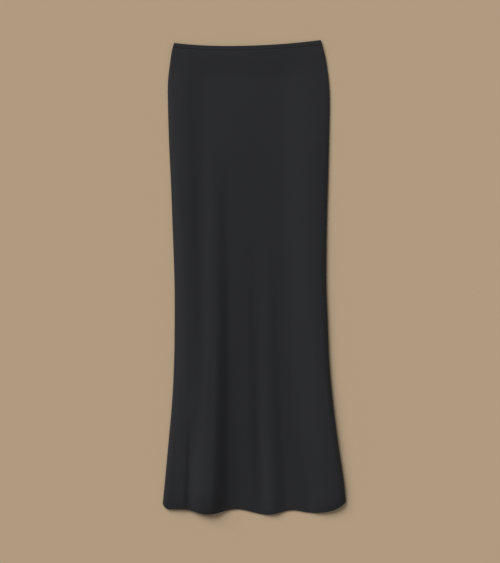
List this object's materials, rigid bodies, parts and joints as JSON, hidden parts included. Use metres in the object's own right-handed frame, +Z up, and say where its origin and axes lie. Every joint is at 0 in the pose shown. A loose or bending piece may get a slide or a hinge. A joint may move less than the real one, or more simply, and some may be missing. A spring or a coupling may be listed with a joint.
{
  "type": "maxi skirt",
  "caption": "Slim black jersey maxi skirt lying flat on its back, with a narrow elastic waistband and soft folds that run down to a gently flared hem.",
  "frame": {"origin": "middle of the skirt's footprint, on the plane it lies on", "axes": "+Y along the skirt from the hem towards the waist, +Z up out of the front, +X to the right as seen from above"},
  "size_m": [0.39, 1.0089, 0.0245],
  "materials": {
    "jersey": "smooth matte black stretch jersey",
    "band_jersey": "matte black jersey folded over elastic"
  },
  "bodies": {
    "root": {"front_panel": "jersey", "back_panel": "jersey", "waistband": "band_jersey"}
  },
  "joints": []
}
